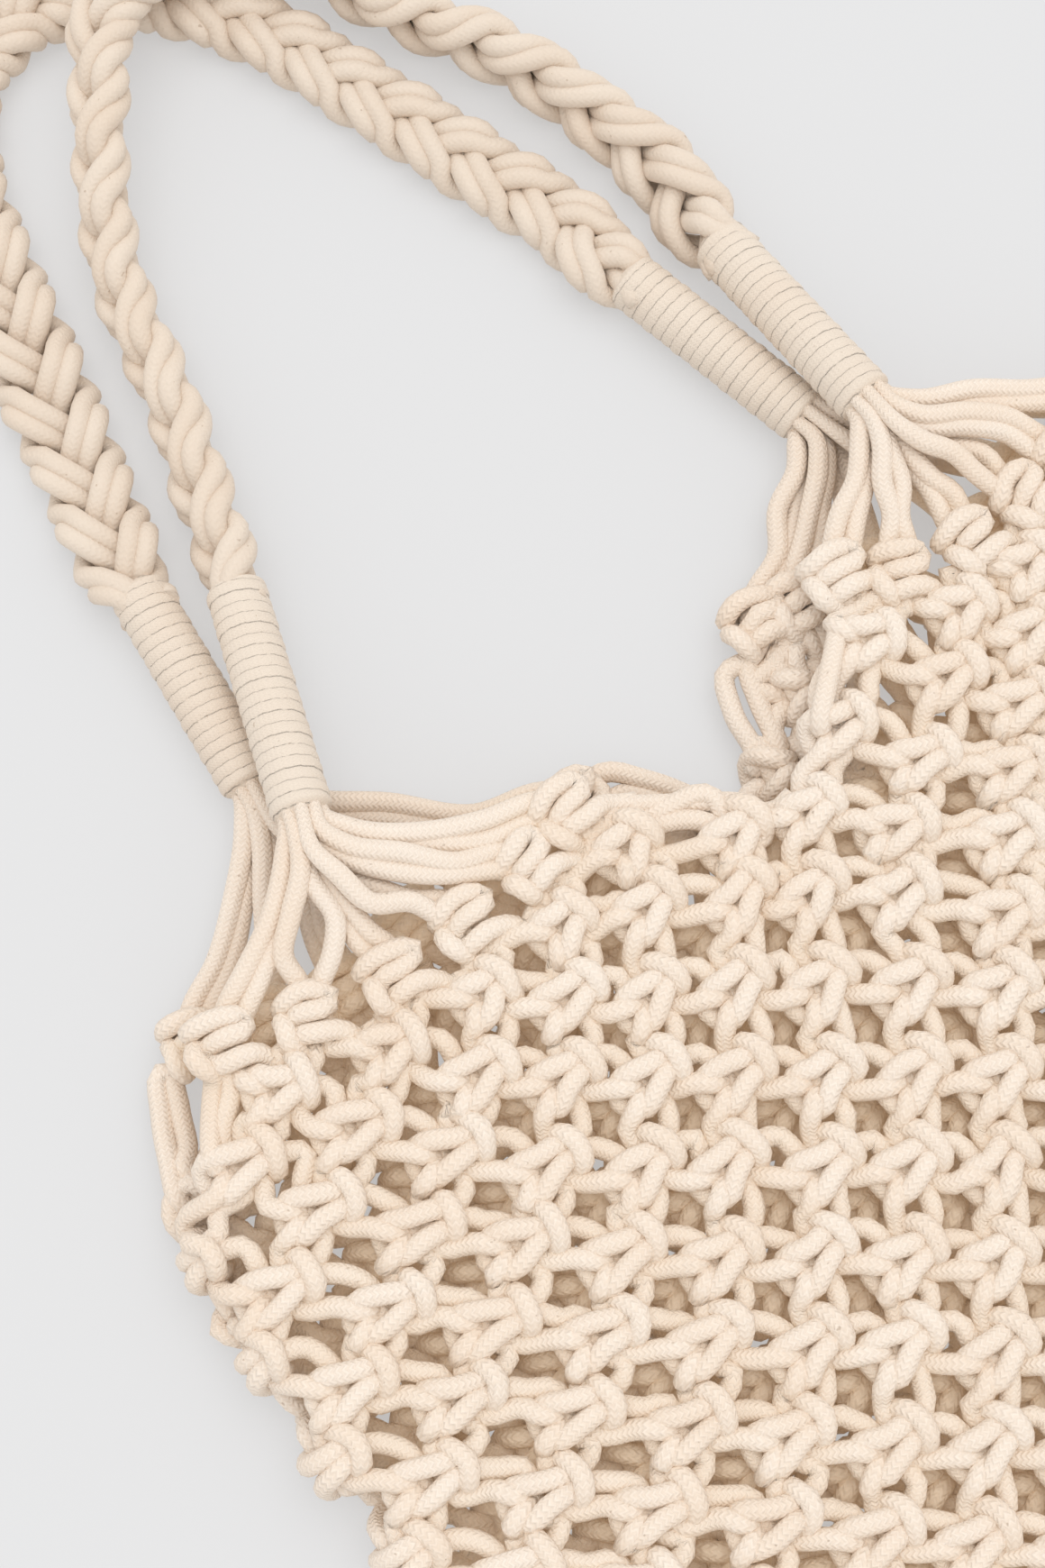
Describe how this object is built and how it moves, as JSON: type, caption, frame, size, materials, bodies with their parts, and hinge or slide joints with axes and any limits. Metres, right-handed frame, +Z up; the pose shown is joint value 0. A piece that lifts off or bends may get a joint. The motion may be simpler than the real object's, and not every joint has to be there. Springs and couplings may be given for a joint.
{
  "type": "macrame beach bag",
  "caption": "Flat-lying open-net shoulder bag of thick knotted cotton cord, with a dipped mouth, wound handle roots and braided loop handles.",
  "frame": {"origin": "middle of the laid-out bag and handles, on the surface that the bag lies on", "axes": "+X across the bag to its right side, +Y from the bottom of the bag to the handles, +Z up from the back wall to the front wall"},
  "size_m": [0.3978, 0.5447, 0.0349],
  "materials": {
    "net_cord": "matte braided cotton cord, knotted",
    "wrap_cord": "matte cotton cord, wound",
    "handle_cord": "matte cotton cord, braided"
  },
  "bodies": {
    "root": {"net_front": "net_cord", "net_back": "net_cord", "fan_front_left": "net_cord", "fan_front_right": "net_cord", "fan_back_left": "net_cord", "fan_back_right": "net_cord", "wrap_front_left": "wrap_cord", "wrap_front_right": "wrap_cord", "wrap_back_left": "wrap_cord", "wrap_back_right": "wrap_cord", "handle_front": "handle_cord", "handle_back": "handle_cord"}
  },
  "joints": []
}
